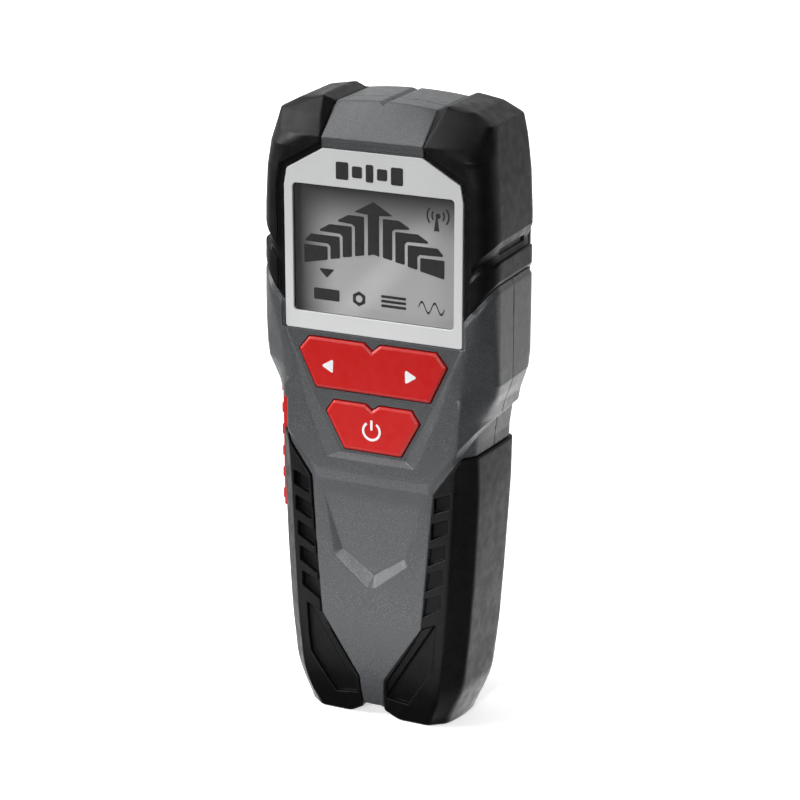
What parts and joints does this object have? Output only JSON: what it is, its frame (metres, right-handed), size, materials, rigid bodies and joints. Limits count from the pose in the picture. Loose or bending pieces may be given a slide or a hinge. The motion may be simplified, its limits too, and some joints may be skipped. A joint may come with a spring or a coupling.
{
  "type": "stud finder",
  "caption": "Hand-held wall scanner: display head with rubber corner bumpers, rocker and power keys, side trigger, ribbed grips, and a battery door in the handle.",
  "frame": {"origin": "middle of the bounding box, at the bottom of the feet, with the tool standing upright", "axes": "+Z from the feet to the head, +Y out of the wall side, -Y towards the user (display side), +X to the right seen from the display side"},
  "size_m": [0.076, 0.0368, 0.1915],
  "materials": {
    "grey_plastic": "satin textured",
    "black_rubber": "matte textured",
    "white_plastic": "satin",
    "red_plastic": "satin",
    "clear_acrylic": "clear",
    "lcd_glass": "glossy",
    "diffuser": "matte",
    "circuit_board": "solder mask",
    "black_plastic": "matte",
    "switch_plunger": "matte",
    "copper": "lacquered",
    "steel": "zinc plated",
    "foam": "open cell",
    "battery_can": "gloss",
    "felt": "napped",
    "label_paper": "blank",
    "red_wire": "smooth",
    "black_wire": "smooth"
  },
  "bodies": {
    "housing": {"front_housing": "grey_plastic", "rear_housing": "grey_plastic", "head_bumper_left": "black_rubber", "head_bumper_right": "black_rubber", "grip_left": "black_rubber", "grip_right": "black_rubber", "display_bezel": "white_plastic", "display_lens": "clear_acrylic", "lens_gasket": "foam", "lcd_panel": "lcd_glass", "backlight": "diffuser", "switch_left": "black_plastic", "switch_right": "black_plastic", "switch_power": "black_plastic", "switch_scan": "black_plastic", "scan_switch_board": "circuit_board", "main_board": "circuit_board", "controller_chip": "black_plastic", "buzzer": "black_plastic", "board_link_header": "black_plastic", "sensor_board": "circuit_board", "sensor_plate_upper": "copper", "sensor_plate_lower": "copper", "coil_bobbin": "black_plastic", "detector_coil": "copper", "battery_9v": "battery_can", "battery_stud_positive": "steel", "battery_stud_negative": "steel", "battery_snap": "black_plastic", "lead_red": "red_wire", "lead_black": "black_wire", "glide_pad_upper": "felt", "glide_pad_lower": "felt", "rating_label": "label_paper", "housing_screw_1": "steel", "housing_screw_2": "steel", "housing_screw_3": "steel", "housing_screw_4": "steel", "board_screw_1": "steel", "board_screw_2": "steel"},
    "rocker": {"rocker_button": "red_plastic"},
    "power": {"power_button": "red_plastic"},
    "scan": {"scan_button": "red_plastic"},
    "plunger_left": {"switch_plunger_left": "switch_plunger"},
    "plunger_right": {"switch_plunger_right": "switch_plunger"},
    "plunger_power": {"switch_plunger_power": "switch_plunger"},
    "plunger_scan": {"switch_plunger_scan": "switch_plunger"},
    "door": {"battery_door": "grey_plastic", "battery_foam_pad": "foam"}
  },
  "joints": [
    {"name": "rocker_tilt", "type": "hinge", "parent": "housing", "child": "rocker", "pos_m": [0, -0.01355, 0.1115], "axis": [0, 0, 1], "range_deg": [-2.5, 2.5], "stiffness_Nm_per_rad": 1},
    {"name": "power_press", "type": "slide", "parent": "housing", "child": "power", "axis": [0, 1, 0], "range_m": [0, 0.0009], "stiffness_N_per_m": 2500},
    {"name": "scan_press", "type": "slide", "parent": "housing", "child": "scan", "axis": [1, 0, 0], "range_m": [0, 0.001], "stiffness_N_per_m": 2500},
    {"name": "plunger_left_press", "type": "slide", "parent": "housing", "child": "plunger_left", "axis": [0, 1, 0], "range_m": [0, 0.00025], "stiffness_N_per_m": 2000},
    {"name": "plunger_right_press", "type": "slide", "parent": "housing", "child": "plunger_right", "axis": [0, 1, 0], "range_m": [0, 0.00025], "stiffness_N_per_m": 2000},
    {"name": "plunger_power_press", "type": "slide", "parent": "housing", "child": "plunger_power", "axis": [0, 1, 0], "range_m": [0, 0.0003]},
    {"name": "plunger_scan_press", "type": "slide", "parent": "housing", "child": "plunger_scan", "axis": [1, 0, 0], "range_m": [0, 0.0003]},
    {"name": "battery_door_hinge", "type": "hinge", "parent": "housing", "child": "door", "pos_m": [0, 0.01125, 0.0134], "axis": [-1, 0, 0], "range_deg": [0, 75]}
  ],
  "couplings": [
    {"joint": "plunger_power_press", "follows": "power_press", "ratio": 0.27},
    {"joint": "plunger_scan_press", "follows": "scan_press", "ratio": 0.25}
  ]
}
